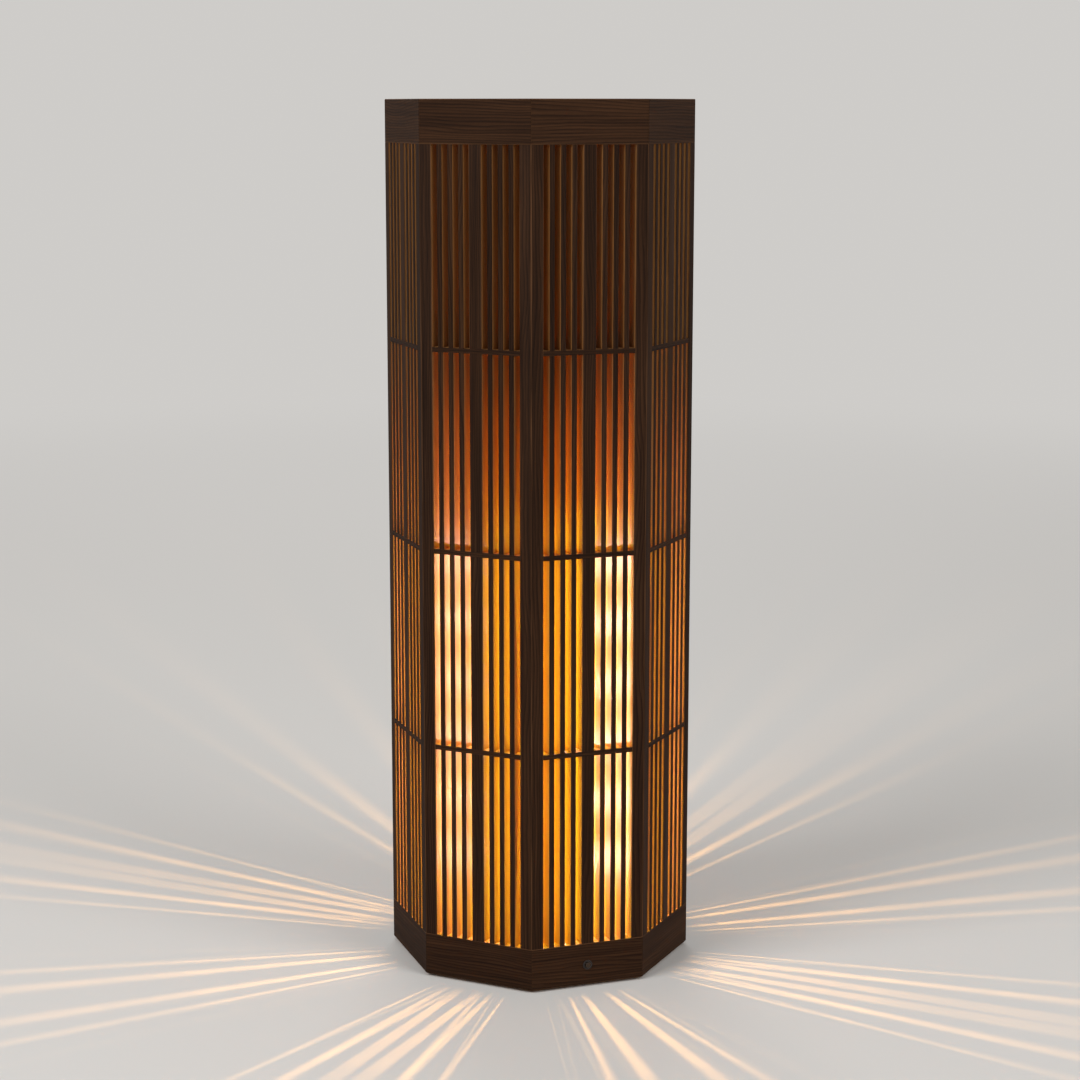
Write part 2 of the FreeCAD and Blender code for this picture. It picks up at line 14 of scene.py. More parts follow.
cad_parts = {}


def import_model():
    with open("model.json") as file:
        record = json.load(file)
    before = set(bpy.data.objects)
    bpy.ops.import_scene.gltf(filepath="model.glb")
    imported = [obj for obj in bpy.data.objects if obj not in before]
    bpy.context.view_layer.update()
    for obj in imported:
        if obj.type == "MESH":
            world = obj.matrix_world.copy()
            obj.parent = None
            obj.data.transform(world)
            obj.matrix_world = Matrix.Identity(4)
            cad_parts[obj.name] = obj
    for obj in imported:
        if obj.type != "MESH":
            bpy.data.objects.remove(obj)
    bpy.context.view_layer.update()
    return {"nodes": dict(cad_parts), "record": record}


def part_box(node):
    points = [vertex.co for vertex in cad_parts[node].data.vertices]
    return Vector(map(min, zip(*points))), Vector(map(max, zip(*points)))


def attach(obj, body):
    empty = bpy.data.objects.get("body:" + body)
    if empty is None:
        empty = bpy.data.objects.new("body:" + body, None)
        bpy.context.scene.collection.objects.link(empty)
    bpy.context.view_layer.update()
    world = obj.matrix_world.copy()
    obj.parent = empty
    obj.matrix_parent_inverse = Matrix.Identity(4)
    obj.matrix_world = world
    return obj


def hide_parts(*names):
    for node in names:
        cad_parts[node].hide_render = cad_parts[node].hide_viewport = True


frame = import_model()

MM = 0.001
FACES = 8
FACE_TURN = 2 * math.pi / FACES
SLATS_PER_HALF = 3
LED_LEVELS = 6
STRIPS = 4
STRIP_TURN = 2 * math.pi / STRIPS

# Sizes that the frame gives, with the slats' width and the lenses' radius from the part's source
OUTER = -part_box("bottom_rail_1")[0].y
CORNER_RADIUS = OUTER / math.cos(FACE_TURN / 2)
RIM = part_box("top_rail_1")[1].z
STILE_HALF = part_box("mid_stile_1")[1].x
SLATS_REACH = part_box("slats_1")[1].x
SLAT_PITCH = (SLATS_REACH - STILE_HALF) / SLATS_PER_HALF
SLAT_WIDTH = 5.3 * MM
FIRST_SLAT = STILE_HALF + SLAT_PITCH - SLAT_WIDTH / 2
BARS_REACH = STILE_HALF + (SLATS_PER_HALF + 1) * SLAT_PITCH - SLAT_WIDTH
FACE_HALF = OUTER * math.tan(FACE_TURN / 2)
LENS_REACH = -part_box("led_lenses")[0].y
LED_RADIUS = 2.2 * MM
FIRST_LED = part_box("led_lenses")[0].z + LED_RADIUS
LED_PITCH = (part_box("led_lenses")[1].z - LED_RADIUS - FIRST_LED) / (LED_LEVELS - 1)
STRIP_REACH = LENS_REACH - LED_RADIUS
BUTTON_RISE = (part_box("push_button")[0].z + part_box("push_button")[1].z) / 2

# The photograph's camera, found by fitting the octagon's corners and the levels of the bars
CAMERA_DISTANCE = 2.5075
CAMERA_HEIGHT = 0.899
CAMERA_AZIMUTH = math.radians(-19.605)
CAMERA_SIDESTEP = 0.0005
CAMERA_PITCH = math.radians(-10.25)
PHOTO_WIDTH_PX = 1080
FOCAL_LENGTH_PX = 2400.6
SENSOR_WIDTH_MM = 36


class Finish:
    """A material in the making. Its calls add nodes and give back the sockets they end in."""

    def __init__(self, name):
        self.material = bpy.data.materials.new(name)
        self.material.use_nodes = True
        self.tree = self.material.node_tree
        self.tree.nodes.clear()
        self.surface = self.tree.nodes.new("ShaderNodeBsdfPrincipled")
        self.output = self.tree.nodes.new("ShaderNodeOutputMaterial")
        self.tree.links.new(self.surface.outputs[0], self.output.inputs["Surface"])

    def feed(self, socket, value):
        """Links a socket to an input, or sets the input to a plain value."""
        if isinstance(value, bpy.types.NodeSocket):
            self.tree.links.new(value, socket)
        else:
            socket.default_value = value

    def node(self, kind, settings=None, **inputs):
        """Adds a node; its inputs are given by their names, with _ for a space."""
        node = self.tree.nodes.new("ShaderNode" + kind)
        for name, setting in (settings or {}).items():
            setattr(node, name, setting)
        for name, value in inputs.items():
            self.feed(node.inputs[name.replace("_", " ")], value)
        return node

    def math(self, operation, first, second=0.0, third=0.0):
        node = self.node("Math", {"operation": operation})
        for socket, value in zip(node.inputs, (first, second, third)):
            self.feed(socket, value)
        return node.outputs[0]

    def add(self, first, second):
        return self.math("ADD", first, second)

    def times(self, first, second):
        return self.math("MULTIPLY", first, second)

    def range(self, value, low, high, start=0.0, end=1.0, smooth=False):
        """Maps low..high to start..end, held at both ends."""
        kind = "SMOOTHSTEP" if smooth else "LINEAR"
        node = self.node("MapRange", {"interpolation_type": kind})
        for socket, given in zip(node.inputs, (value, low, high, start, end)):
            self.feed(socket, given)
        return node.outputs[0]

    def split(self, vector):
        return self.node("SeparateXYZ", Vector=vector).outputs

    def join(self, x, y, z):
        return self.node("CombineXYZ", X=x, Y=y, Z=z).outputs[0]

    def vector_sum(self, first, second):
        node = self.node("VectorMath", {"operation": "ADD"})
        self.feed(node.inputs[0], first)
        self.feed(node.inputs[1], second)
        return node.outputs[0]

    def smaller(self, first, second):
        return self.math("MINIMUM", first, second)

    def stretch(self, vector, x, y, z):
        """Multiplies a place by a number for each axis."""
        node = self.node("VectorMath", {"operation": "MULTIPLY"})
        self.feed(node.inputs[0], vector)
        node.inputs[1].default_value = (x, y, z)
        return node.outputs[0]

    def place(self):
        """The point's own place on the lamp, in millimetres."""
        scale = 1 / MM
        return self.stretch(self.node("TexCoord").outputs["Object"], scale, scale, scale)

    def length(self, vector):
        node = self.node("VectorMath", {"operation": "LENGTH"})
        self.feed(node.inputs[0], vector)
        return node.outputs["Value"]

    def noise(self, vector, detail=2.0, roughness=0.5, distortion=0.0):
        node = self.node(
            "TexNoise", Vector=vector, Scale=1.0, Detail=detail, Roughness=roughness,
            Distortion=distortion,
        )
        return node.outputs[0]

    def blend(self, share, first, second, kind="MIX"):
        """A colour between two others."""
        node = self.node("Mix", {"data_type": "RGBA", "blend_type": kind})
        self.feed(node.inputs[0], share)
        self.feed(node.inputs[6], first)
        self.feed(node.inputs[7], second)
        return node.outputs[2]

    def ramp(self, value, stops):
        """A colour ramp; stops are pairs of a place and a colour."""
        node = self.node("ValToRGB", Fac=value)
        elements = node.color_ramp.elements
        while len(elements) < len(stops):
            elements.new(1.0)
        for element, (place, colour) in zip(elements, stops):
            element.position = place
            element.color = (*colour, 1.0)
        return node.outputs[0]

    def bump(self, height, strength, distance):
        node = self.node("Bump", Strength=strength, Distance=distance, Height=height)
        self.feed(self.surface.inputs["Normal"], node.outputs[0])

    def surface_is(self, **inputs):
        """Sets inputs of the surface shader, with _ for a space in their names."""
        for name, value in inputs.items():
            self.feed(self.surface.inputs[name.replace("_", " ")], value)
        return self.material


def rgba(red, green, blue):
    return (red, green, blue, 1.0)


# Wood


def lamp_place(finish, at_corner=False):
    """Millimetres seen from the face, or the corner, that a point belongs to: along it, inwards
    from its outer side, and up. The last output is the number of the face or corner."""
    place = finish.node("TexCoord").outputs["Object"]
    x, y, _ = finish.split(place)
    angle = finish.math("ARCTAN2", x, finish.times(y, -1.0))
    offset = 0.5 if at_corner else 0.0
    number = finish.math("ROUND", finish.add(finish.times(angle, 1 / FACE_TURN), -offset))
    turn = finish.times(finish.add(number, offset), -FACE_TURN)
    turned = finish.node("VectorRotate", {"rotation_type": "Z_AXIS"}, Vector=place, Angle=turn)
    along, inwards, up = finish.split(turned.outputs[0])
    reach = CORNER_RADIUS if at_corner else OUTER
    number = finish.math("WRAP", number, float(FACES), 0.0)
    return (
        finish.times(along, 1 / MM),
        finish.times(finish.add(inwards, reach), 1 / MM),
        finish.times(up, 1 / MM),
        number,
    )


# The wood's colours, from its darkest grain to its lightest, and the tones that they stand for
DARK_TONE, MIDDLE_TONE, LIGHT_TONE = 0.22, 0.52, 0.86
STAIN_DARK = (0.007, 0.0027, 0.0011)
STAIN_MIDDLE = (0.021, 0.0084, 0.0034)
STAIN_LIGHT = (0.055, 0.0235, 0.0098)
STAIN_RUBBED = (0.130, 0.060, 0.026)
HEART_DARK = (0.262, 0.118, 0.037)
HEART_MIDDLE = (0.300, 0.140, 0.045)
HEART_LIGHT = (0.345, 0.165, 0.055)
INSIDE_DARK = (0.045, 0.017, 0.0065)
INSIDE_LIGHT = (0.095, 0.038, 0.0140)

# How often each pattern repeats along the grain and across it, for each millimetre
WANDER_SCALES = (0.0035, 0.016)
RIPPLE_SCALES = (0.02, 0.09)
FIBRE_SCALES = (0.035, 2.4)
STREAK_SCALES = (0.006, 0.30)
PORE_SCALES = (0.10, 4.6)
CLOUD_SCALES = (0.004, 0.02)
PATCH_SCALES = (0.010, 0.04)

# In millimetres: how far the growth rings wander, the gap between them, and the depths at which
# the stain fades and the inside begins
WANDER = 16.0
RIPPLE = 1.6
RING_GAP = 3.1
RING_SLANT = 0.45
STAIN_FADE = (0.3, 1.2)
INSIDE_FADE = (21.5, 23.8)
RUBBED_FADE = (0.5, 1.5)
PATCH_FADE = (0.40, 0.66)
PATCH_SHARES = (0.15, 0.8)

# How much each pattern lightens or darkens the tone
STREAK_SHARE = 0.62
FIBRE_SHARE = 0.34
CLOUD_SHARE = 0.30
LATE_SHARE = -0.34
PORE_SHARE = -0.10
BOARD_SHARE = 0.07
LOT_SPREAD = 900.0
WOOD_BUMP = 0.25
WOOD_BUMP_DEPTH = 0.2 * MM


def wood(name, lot, upright, at_corner=False, piece=None, arris=None):
    """Oiled wood whose grain runs up the piece, or along it. The outer faces are stained dark;
    the stain fades at about a millimetre's depth; the inside of the cage is dark again.
    piece gives a number for each board, arris the distance from its nearest outer edge."""
    finish = Finish(name)
    along, inwards, up, number = lamp_place(finish, at_corner)
    face_along, face_inwards, _, _ = lamp_place(finish) if at_corner else (along, inwards, 0, 0)
    rim_depth = finish.add(finish.times(up, -1.0), RIM / MM)
    stain_depth = finish.smaller(face_inwards, rim_depth)
    extra = piece(finish, along, up) if piece else 0.0
    label = finish.join(number, extra, float(lot))
    seed = finish.node("TexWhiteNoise", {"noise_dimensions": "3D"}, Vector=label)
    shift = finish.node("VectorMath", {"operation": "SCALE"}, Scale=LOT_SPREAD)
    finish.feed(shift.inputs[0], seed.outputs["Color"])
    run, cross = (up, along) if upright else (along, up)
    board = finish.vector_sum(finish.join(run, cross, inwards), shift.outputs[0])

    def stretched(scales):
        return finish.stretch(board, scales[0], scales[1], scales[1])

    # The growth rings, seen as lines that wander slowly from side to side
    wander = finish.noise(stretched(WANDER_SCALES))
    wander = finish.range(wander, 0.0, 1.0, -WANDER, WANDER)
    ripple = finish.noise(stretched(RIPPLE_SCALES))
    ripple = finish.range(ripple, 0.0, 1.0, -RIPPLE, RIPPLE)
    _, across, deep = finish.split(board)
    slanted = finish.add(across, finish.times(deep, RING_SLANT))
    line = finish.add(slanted, finish.add(wander, ripple))
    ring = finish.math("FRACT", finish.times(line, 1 / RING_GAP))
    late = finish.math("POWER", ring, 3.0)
    late = finish.times(late, finish.range(ring, 0.93, 1.0, 1.0, 0.0))

    fibre = finish.noise(stretched(FIBRE_SCALES), detail=4.0, roughness=0.62)
    streak = finish.noise(stretched(STREAK_SCALES), detail=3.0, roughness=0.55)
    pore = finish.range(finish.noise(stretched(PORE_SCALES), detail=1.0), 0.63, 0.70)
    cloud = finish.noise(stretched(CLOUD_SCALES), detail=2.0)

    tone = finish.add(finish.times(streak, STREAK_SHARE), finish.times(fibre, FIBRE_SHARE))
    tone = finish.add(tone, finish.times(cloud, CLOUD_SHARE))
    tone = finish.add(tone, finish.times(late, LATE_SHARE))
    tone = finish.add(tone, finish.times(pore, PORE_SHARE))
    board_tone = finish.range(seed.outputs["Value"], 0.0, 1.0, -BOARD_SHARE, BOARD_SHARE)
    tone = finish.add(tone, board_tone)
    stained = finish.ramp(
        tone, [(DARK_TONE, STAIN_DARK), (MIDDLE_TONE, STAIN_MIDDLE), (LIGHT_TONE, STAIN_LIGHT)]
    )
    if arris:
        # Where the edges were eased and rubbed, the stain is thinner
        edge = finish.add(arris(finish, face_along, up), finish.times(fibre, 0.8))
        rubbed = finish.range(edge, *RUBBED_FADE, 1.0, 0.0, smooth=True)
        patches = finish.noise(stretched(PATCH_SCALES))
        patches = finish.range(patches, *PATCH_FADE, *PATCH_SHARES)
        stained = finish.blend(finish.times(rubbed, patches), stained, rgba(*STAIN_RUBBED))
    heart = finish.ramp(
        tone, [(DARK_TONE, HEART_DARK), (MIDDLE_TONE, HEART_MIDDLE), (LIGHT_TONE, HEART_LIGHT)]
    )
    depth = finish.range(stain_depth, *STAIN_FADE, smooth=True)
    colour = finish.blend(depth, stained, heart)
    inside = finish.ramp(tone, [(DARK_TONE, INSIDE_DARK), (LIGHT_TONE, INSIDE_LIGHT)])
    inner_share = finish.range(face_inwards, *INSIDE_FADE, smooth=True)
    inner_share = finish.times(inner_share, depth)
    colour = finish.blend(inner_share, colour, inside)

    rough = finish.add(finish.range(fibre, 0.3, 0.7, 0.64, 0.74), finish.times(pore, 0.12))
    rough = finish.add(rough, finish.times(depth, -0.18))
    height = finish.add(finish.times(fibre, 0.5), finish.times(late, 0.35))
    height = finish.add(height, finish.times(pore, -0.5))
    finish.bump(height, WOOD_BUMP, WOOD_BUMP_DEPTH)
    return finish.surface_is(
        Base_Color=colour, Roughness=rough, IOR=1.42, Specular_IOR_Level=0.10
    )


def rail_edge(node):
    """The distance from a rail's upper or lower edge."""
    low, high = (corner.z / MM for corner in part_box(node))

    def distance(finish, along, up):
        from_low = finish.add(up, -low)
        return finish.smaller(from_low, finish.add(finish.times(up, -1.0), high))

    return distance


def stile_edge(finish, along, up):
    """The distance from a side of the mid stile."""
    from_middle = finish.math("ABSOLUTE", along)
    return finish.add(finish.times(from_middle, -1.0), STILE_HALF / MM)


def post_edge(finish, along, up):
    """The distance from a corner post's outer arris or its inner side."""
    from_middle = finish.math("ABSOLUTE", along)
    from_arris = finish.add(finish.times(from_middle, -1.0), FACE_HALF / MM)
    return finish.smaller(from_arris, finish.add(from_middle, -BARS_REACH / MM))


# A step between the numbers of the slats left and right of a mid stile, larger than any count of
# them, and a length in millimetres that parts one ring of crossbars from the next
OTHER_HALF = 10.0
RING_STEP = 100.0


def slat_number(finish, along, up):
    """A number for each slat of a face."""
    side = finish.times(finish.math("GREATER_THAN", along, 0.0), OTHER_HALF)
    from_first = finish.add(finish.math("ABSOLUTE", along), -FIRST_SLAT / MM)
    return finish.add(finish.math("ROUND", finish.times(from_first, MM / SLAT_PITCH)), side)


def ring_number(finish, along, up):
    """A number for each ring of crossbars."""
    return finish.math("ROUND", finish.times(up, 1 / RING_STEP))


MOTTLING_SCALE = 0.09
SKIN_DEPTH = 0.1 * MM


def plain(name, colour, roughness, variation=0.06, grain=1.5, metallic=0.0, bump=0.05, **more):
    """An even finish with the fine mottling, uneven gloss and skin of a made surface."""
    finish = Finish(name)
    place = finish.place()
    cloud = finish.noise(finish.stretch(place, *[MOTTLING_SCALE] * 3), detail=3.0)
    fine = finish.noise(finish.stretch(place, grain, grain, grain), detail=3.0)
    return dressed(finish, cloud, fine, colour, roughness, variation, metallic, bump, **more)


def dressed(finish, cloud, fine, colour, roughness, variation, metallic, bump, **more):
    """A colour and a gloss that vary with a coarse and a fine pattern."""
    shade = finish.range(finish.add(finish.times(cloud, 0.6), finish.times(fine, 0.4)), 0.3, 0.7)
    dark = tuple(channel * (1 - variation) for channel in colour)
    light = tuple(min(1.0, channel * (1 + variation)) for channel in colour)
    finish.bump(fine, bump, SKIN_DEPTH)
    return finish.surface_is(
        Base_Color=finish.blend(shade, rgba(*dark), rgba(*light)),
        Roughness=finish.range(cloud, 0.3, 0.7, roughness * 0.85, roughness * 1.15),
        Metallic=metallic,
        **more,
    )


def extruded(name, colour, roughness):
    """Anodised metal with the fine upright lines of its die."""
    finish = Finish(name)
    place = finish.place()
    cloud = finish.noise(finish.stretch(place, 0.05, 0.05, 0.01), detail=2.0)
    lines = finish.noise(finish.stretch(place, 3.0, 3.0, 0.02), detail=3.0)
    return dressed(finish, cloud, lines, colour, roughness, 0.07, 1.0, 0.12)


def turned(name, colour, roughness, metallic):
    """Metal turned on a lathe, with fine rings round the push button's axis."""
    finish = Finish(name)
    x, _, z = finish.split(finish.place())
    from_axis = finish.length(finish.join(x, finish.add(z, -BUTTON_RISE / MM), 0.0))
    place = finish.place()
    cloud = finish.noise(finish.stretch(place, 0.5, 0.5, 0.5), detail=2.0)
    rings = finish.noise(finish.join(finish.times(from_axis, 7.0), 0.0, 0.0), detail=2.0)
    return dressed(
        finish, cloud, rings, colour, roughness, 0.22, metallic, 0.35,
        Specular_IOR_Level=0.25,
    )


# Two plies in millimetres, and their colours from glue line to glue line
PLY_PAIR = 3.0
PLIES = (
    (0.0, (0.20, 0.11, 0.05)), (0.12, (0.34, 0.20, 0.10)),
    (0.52, (0.40, 0.25, 0.13)), (0.56, (0.24, 0.13, 0.06)),
)
FACE_PLY_DARK = (0.23, 0.125, 0.058)
FACE_PLY_LIGHT = (0.36, 0.215, 0.11)


def plywood():
    """Plywood: a face with a wide, wandering figure, and plies that show at its edges."""
    finish = Finish("board_plywood")
    place = finish.place()
    _, _, z = finish.split(place)
    sweep = finish.noise(finish.stretch(place, 0.004, 0.022, 0.02), detail=2.0, distortion=0.4)
    figure = finish.math("FRACT", finish.times(sweep, 11.0))
    fibre = finish.noise(finish.stretch(place, 0.05, 2.2, 2.2), detail=4.0)
    tone = finish.add(finish.times(figure, 0.45), finish.times(fibre, 0.55))
    face = finish.ramp(tone, [(0.2, FACE_PLY_DARK), (0.8, FACE_PLY_LIGHT)])
    ply = finish.math("FRACT", finish.times(z, 1 / PLY_PAIR))
    plies = finish.ramp(ply, PLIES)
    _, _, level = finish.split(finish.node("NewGeometry").outputs["Normal"])
    side = finish.range(finish.math("ABSOLUTE", level), 0.4, 0.8, 1.0, 0.0)
    finish.bump(finish.add(fibre, finish.times(figure, 0.3)), 0.2, WOOD_BUMP_DEPTH)
    return finish.surface_is(
        Base_Color=finish.blend(side, face, plies),
        Roughness=finish.range(fibre, 0.3, 0.7, 0.55, 0.7),
    )


# On a strip, in millimetres from a lens's middle, or from the line to cut at
PAD_RISE, PAD_ASIDE = 3.6, 1.3
CUT_PAD_RISE, CUT_PAD_ASIDE = 1.4, 1.5
TRACK_ASIDE = 2.3
PRINT_EDGE = 0.05
PRINT_BUMP_DEPTH = 0.05 * MM
MASK_DARK = (0.80, 0.79, 0.75)
MASK_LIGHT = (0.88, 0.87, 0.83)
TRACK_TINT = (0.62, 0.56, 0.44)
CUT_INK = (0.12, 0.12, 0.12)
GOLD = (0.83, 0.58, 0.24)


def above_lens(finish, up):
    """How far a point lies above, or below, the nearest lens's middle, in millimetres."""
    level = finish.times(finish.add(up, -FIRST_LED / MM), MM / LED_PITCH)
    off_level = finish.add(level, finish.times(finish.math("ROUND", level), -1.0))
    return finish.times(off_level, LED_PITCH / MM)


def strip_finish():
    """A white circuit board: gold pads by each lens, two faint tracks and a line to cut at."""
    finish = Finish("strip_mask")
    along, _, up, _ = lamp_place(finish)
    rise = finish.math("ABSOLUTE", above_lens(finish, up))
    aside = finish.math("ABSOLUTE", along)

    def near(value, middle, reach):
        away = finish.math("ABSOLUTE", finish.add(value, -middle))
        return finish.range(away, reach - PRINT_EDGE, reach + PRINT_EDGE, 1.0, 0.0)

    pads = finish.times(near(rise, PAD_RISE, 0.7), near(aside, PAD_ASIDE, 0.6))
    cut_line = LED_PITCH / MM / 2
    cut_pads = near(rise, cut_line - CUT_PAD_RISE, 0.9)
    cut_pads = finish.times(cut_pads, near(aside, CUT_PAD_ASIDE, 0.8))
    pads = finish.math("MAXIMUM", pads, cut_pads)
    tracks = near(aside, TRACK_ASIDE, 0.25)
    cut = near(rise, cut_line, 0.12)
    cloud = finish.noise(finish.stretch(finish.place(), 0.3, 0.3, 0.3), detail=3.0)
    mask = finish.ramp(cloud, [(0.3, MASK_DARK), (0.7, MASK_LIGHT)])
    mask = finish.blend(finish.times(tracks, 0.35), mask, rgba(*TRACK_TINT))
    mask = finish.blend(finish.times(cut, 0.8), mask, rgba(*CUT_INK))
    colour = finish.blend(pads, mask, rgba(*GOLD))
    finish.bump(finish.add(finish.times(tracks, 0.6), pads), 0.4, PRINT_BUMP_DEPTH)
    return finish.surface_is(
        Base_Color=colour, Metallic=pads, Roughness=finish.range(cloud, 0.3, 0.7, 0.38, 0.48)
    )


GLOW = ((0.0, (1.0, 0.50, 0.16)), (0.6, (1.0, 0.72, 0.36)), (1.0, (1.0, 0.92, 0.70)))
RIM_GLOW = 3.0
MIDDLE_GLOW = 14.0


def lens_finish():
    """A lit lens: brightest over the chip in its middle, dimmer towards its rim."""
    finish = Finish("led_lens_glow")
    along, _, up, _ = lamp_place(finish)
    away = finish.length(finish.join(along, above_lens(finish, up), 0.0))
    centre = finish.range(away, 0.0, LED_RADIUS / MM, 1.0, 0.0, smooth=True)
    glow = finish.ramp(centre, GLOW)
    strength = finish.range(centre, 0.0, 1.0, RIM_GLOW, MIDDLE_GLOW)
    return finish.surface_is(
        Base_Color=rgba(0.95, 0.80, 0.45), Roughness=0.25,
        Emission_Color=glow, Emission_Strength=strength,
    )


SAME_POINT = 1e-6
SHARP_ABOVE = 35


def put_on(names, material, bevel=0.0, segments=2):
    """Gives CAD nodes a finish and, where asked, slightly rounded edges."""
    for name in names:
        node = frame["nodes"][name]
        for slot in node.material_slots:
            slot.material = material
        if bevel:
            weld = node.modifiers.new("weld", "WELD")
            weld.merge_threshold = SAME_POINT
            ease = node.modifiers.new("eased_edges", "BEVEL")
            ease.width = bevel
            ease.segments = segments
            ease.limit_method = "ANGLE"
            ease.angle_limit = math.radians(SHARP_ABOVE)


def each(stem):
    return [f"{stem}_{face}" for face in range(1, FACES + 1)]


WORKS = (
    "base_board", "light_post", "post_socket", "led_boards", "driver_case", "inner_leads",
    "lead_clip", "switch_nut", "switch_body",
)


def dress_frame():
    low_rails = wood("wood_bottom_rails", 1, upright=False, arris=rail_edge("bottom_rail_1"))
    put_on(each("bottom_rail"), low_rails, 0.35 * MM)
    high_rails = wood("wood_top_rails", 2, upright=False, arris=rail_edge("top_rail_1"))
    put_on(each("top_rail"), high_rails, 0.35 * MM)
    posts = wood("wood_corner_posts", 3, upright=True, at_corner=True, arris=post_edge)
    put_on(each("corner_post"), posts, 0.3 * MM)
    stiles = wood("wood_mid_stiles", 4, upright=True, arris=stile_edge)
    put_on(each("mid_stile"), stiles, 0.3 * MM)
    put_on(each("slats"), wood("wood_slats", 5, upright=True, piece=slat_number), 0.25 * MM)
    bars = [f"{level}_crossbars" for level in ("lower", "middle", "upper")]
    put_on(bars, wood("wood_crossbars", 6, upright=False, piece=ring_number), 0.25 * MM)

    put_on(["base_board"], plywood(), 0.5 * MM)
    put_on(["rubber_feet"], plain("rubber_pads", (0.030, 0.029, 0.028), 0.8, 0.15), 0.4 * MM)
    put_on(["light_post"], extruded("anodised_aluminium", (0.70, 0.70, 0.71), 0.36), 0.3 * MM)
    put_on(["post_socket"], plain("socket_cast", (0.62, 0.62, 0.63), 0.45, 0.08, metallic=1.0),
           0.5 * MM)
    put_on(["led_boards"], strip_finish(), 0.1 * MM)
    put_on(["led_lenses"], lens_finish())
    put_on(["driver_case"], plain("driver_plastic", (0.78, 0.77, 0.74), 0.5, 0.04))
    put_on(["inner_leads"], plain("lead_pvc", (0.74, 0.73, 0.69), 0.48, 0.05))
    put_on(["lead_clip"], plain("clip_nylon", (0.80, 0.79, 0.76), 0.5, 0.05), 0.4 * MM)
    put_on(["push_button"], turned("button_bronze", (0.060, 0.045, 0.035), 0.40, 1.0))
    dark_metal = turned("blackened_metal", (0.025, 0.020, 0.018), 0.45, 0.0)
    put_on(["button_bezel", "switch_nut"], dark_metal, 0.2 * MM)
    black = plain("black_plastic", (0.040, 0.040, 0.040), 0.5, 0.10)
    put_on(["switch_body"], black, 0.3 * MM)


# Small parts with more detail than the frame's


def ring(shape, radius, height, sides=20):
    """A circle of points round the Z axis."""
    points = []
    for side in range(sides):
        angle = 2 * math.pi * side / sides
        points.append(
            shape.verts.new((radius * math.cos(angle), radius * math.sin(angle), height))
        )
    return points


def loop(shape, outline, height):
    return [shape.verts.new((x, y, height)) for x, y in outline]


def skirt(shape, first, second):
    """Side faces between two closed rows of points."""
    for place, point in enumerate(first):
        following = (place + 1) % len(first)
        shape.faces.new((point, first[following], second[following], second[place]))


def fill(shape, *loops):
    """Fills the area between an outer row of points and the rows inside it."""
    edges = []
    for points in loops:
        for place, point in enumerate(points):
            edges.append(shape.edges.get((point, points[(place + 1) % len(points)])))
    bmesh.ops.triangle_fill(shape, use_beauty=True, edges=edges)


def lathe(profile, place, sides=48, hollow=True):
    """A form turned from a row of radii and heights: a ring, or solid with two flat ends."""
    shape = bmesh.new()
    rows = [ring(shape, radius, height, sides) for radius, height in profile]
    for row, following in zip(rows, rows[1:]):
        skirt(shape, row, following)
    if hollow:
        skirt(shape, rows[-1], rows[0])
    else:
        shape.faces.new(rows[0])
        shape.faces.new(rows[-1])
    bmesh.ops.transform(shape, matrix=place, verts=shape.verts)
    return shape


def new_piece(name, shape, material, smooth_below=SHARP_ABOVE):
    """A piece of the lamp from a finished shape."""
    bmesh.ops.recalc_face_normals(shape, faces=shape.faces)
    mesh = bpy.data.meshes.new(name)
    shape.to_mesh(mesh)
    shape.free()
    mesh.shade_smooth()
    mesh.set_sharp_from_angle(angle=math.radians(smooth_below))
    mesh.materials.append(material)
    made = bpy.data.objects.new(name, mesh)
    bpy.context.scene.collection.objects.link(made)
    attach(made, "root")
    return made


def solids(name):
    """The separate solids of a CAD node, each as the list of its points."""
    shape = bmesh.new()
    shape.from_mesh(frame["nodes"][name].data)
    bmesh.ops.remove_doubles(shape, verts=shape.verts, dist=SAME_POINT)
    shape.verts.ensure_lookup_table()
    seen = set()
    found = []
    for start in shape.verts:
        if start.index in seen:
            continue
        seen.add(start.index)
        waiting = [start]
        points = []
        while waiting:
            point = waiting.pop()
            points.append(point.co.copy())
            for edge in point.link_edges:
                other = edge.other_vert(point)
                if other.index not in seen:
                    seen.add(other.index)
                    waiting.append(other)
        found.append(points)
    shape.free()
    return found


SCREW_HEAD_RADIUS = 3.5 * MM
SCREW_HEAD_HEIGHT = 2.4 * MM
SCREW_LENGTH = 15 * MM
SCREW_CORE = 1.2 * MM
SCREW_THREAD = 0.5 * MM
SCREW_THREAD_PITCH = 1.5 * MM
SCREW_POINT = 3 * MM
RECESS_REACH = 1.75 * MM
RECESS_ARM = 0.5 * MM
RECESS_DEPTH = 1.5 * MM
RECESS_TAPER_SHARE = 0.6
SCREW_TIP_SHARE = 0.08
SCREW_SIDES = 20
SCREW_ROWS = 40
SCREW_TURN = math.radians(37)


def cross(reach, arm):
    """The outline of a cross, anticlockwise."""
    quarter = [(reach, -arm), (reach, arm), (arm, arm)]
    outline = []
    for turn in range(4):
        for x, y in quarter:
            for _ in range(turn):
                x, y = -y, x
            outline.append((x, y))
    return outline


